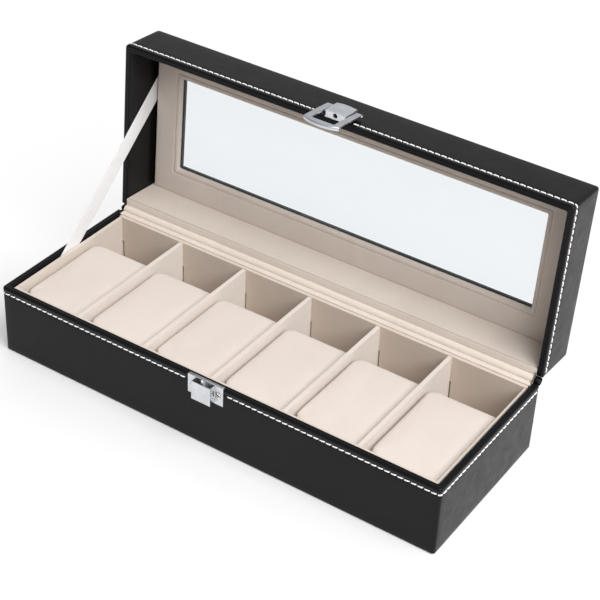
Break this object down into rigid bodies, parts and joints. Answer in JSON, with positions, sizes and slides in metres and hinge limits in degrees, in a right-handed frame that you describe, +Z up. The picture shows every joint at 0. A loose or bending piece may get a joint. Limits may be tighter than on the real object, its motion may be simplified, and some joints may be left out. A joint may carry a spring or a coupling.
{
  "type": "watch box",
  "caption": "Long hinged watch box in black stitched leather with a window lid, stay ribbon, lined compartments with lift-out cushions, and a metal hasp that drops over a sprung keeper.",
  "frame": {"origin": "centre of the base's underside, on the surface the box stands on", "axes": "+X along the box's length to the right seen from the front, +Y from the front to the hinge, +Z up"},
  "size_m": [0.301, 0.1545, 0.1638],
  "materials": {
    "leather_black": "fine-grained semi-matt artificial leather",
    "thread_white": "waxed sewing thread",
    "board_fibre": "fibreboard",
    "lining_beige": "short-pile velvet on card",
    "velvet_beige": "short-pile velvet",
    "foam_white": "soft foam",
    "pane_clear": "clear polished sheet",
    "metal_bright": "bright plated pressed steel",
    "ribbon_white": "satin ribbon",
    "felt_black": "flocked sheet"
  },
  "bodies": {
    "base": {"underside_sheet": "felt_black", "base_bottom_board": "board_fibre", "base_front_board": "board_fibre", "base_rear_board": "board_fibre", "base_left_board": "board_fibre", "base_right_board": "board_fibre", "base_leather": "leather_black", "base_stitching": "thread_white", "lining_floor": "lining_beige", "lining_front": "lining_beige", "lining_rear": "lining_beige", "lining_left": "lining_beige", "lining_right": "lining_beige", "divider_1": "lining_beige", "divider_2": "lining_beige", "divider_3": "lining_beige", "divider_4": "lining_beige", "divider_5": "lining_beige", "hinge_cord": "leather_black", "hinge_leather_strip": "leather_black", "hinge_fabric_strip": "lining_beige", "stay_ribbon": "ribbon_white", "keeper_plate": "metal_bright", "keeper_block": "metal_bright", "keeper_screws": "metal_bright"},
    "catch_spring": {"catch_spring": "metal_bright"},
    "cushion_1": {"cushion_1_cover": "velvet_beige", "cushion_1_core": "foam_white"},
    "cushion_2": {"cushion_2_cover": "velvet_beige", "cushion_2_core": "foam_white"},
    "cushion_3": {"cushion_3_cover": "velvet_beige", "cushion_3_core": "foam_white"},
    "cushion_4": {"cushion_4_cover": "velvet_beige", "cushion_4_core": "foam_white"},
    "cushion_5": {"cushion_5_cover": "velvet_beige", "cushion_5_core": "foam_white"},
    "cushion_6": {"cushion_6_cover": "velvet_beige", "cushion_6_core": "foam_white"},
    "lid": {"lid_top_frame": "board_fibre", "lid_front_board": "board_fibre", "lid_rear_board": "board_fibre", "lid_left_board": "board_fibre", "lid_right_board": "board_fibre", "lid_leather": "leather_black", "lid_stitching": "thread_white", "window_pane": "pane_clear", "lid_lining_panel": "lining_beige", "lid_rear_lining": "lining_beige", "hasp_bracket": "metal_bright", "hasp_pin": "metal_bright", "hasp_screws": "metal_bright"},
    "hasp": {"hasp": "metal_bright"}
  },
  "joints": [
    {"name": "lid_hinge", "type": "hinge", "parent": "base", "child": "lid", "pos_m": [0, 0.0565, 0.046], "axis": [-1, 0, 0], "range_deg": [-93.8, 0], "deforming": ["hinge_leather_strip", "hinge_fabric_strip", "stay_ribbon"]},
    {"name": "hasp_pivot", "type": "hinge", "parent": "lid", "child": "hasp", "pos_m": [0, 0.07461, 0.1587], "axis": [-1, 0, 0], "range_deg": [-4.2, 95]},
    {"name": "catch_flex", "type": "hinge", "parent": "base", "child": "catch_spring", "pos_m": [0, -0.0557, 0.0348], "axis": [1, 0, 0], "range_deg": [0, 3], "stiffness_Nm_per_rad": 0.02},
    {"name": "cushion_1_lift", "type": "slide", "parent": "base", "child": "cushion_1", "axis": [0, 0, 1], "range_m": [0, 0.06]},
    {"name": "cushion_2_lift", "type": "slide", "parent": "base", "child": "cushion_2", "axis": [0, 0, 1], "range_m": [0, 0.06]},
    {"name": "cushion_3_lift", "type": "slide", "parent": "base", "child": "cushion_3", "axis": [0, 0, 1], "range_m": [0, 0.06]},
    {"name": "cushion_4_lift", "type": "slide", "parent": "base", "child": "cushion_4", "axis": [0, 0, 1], "range_m": [0, 0.06]},
    {"name": "cushion_5_lift", "type": "slide", "parent": "base", "child": "cushion_5", "axis": [0, 0, 1], "range_m": [0, 0.06]},
    {"name": "cushion_6_lift", "type": "slide", "parent": "base", "child": "cushion_6", "axis": [0, 0, 1], "range_m": [0, 0.06]}
  ]
}
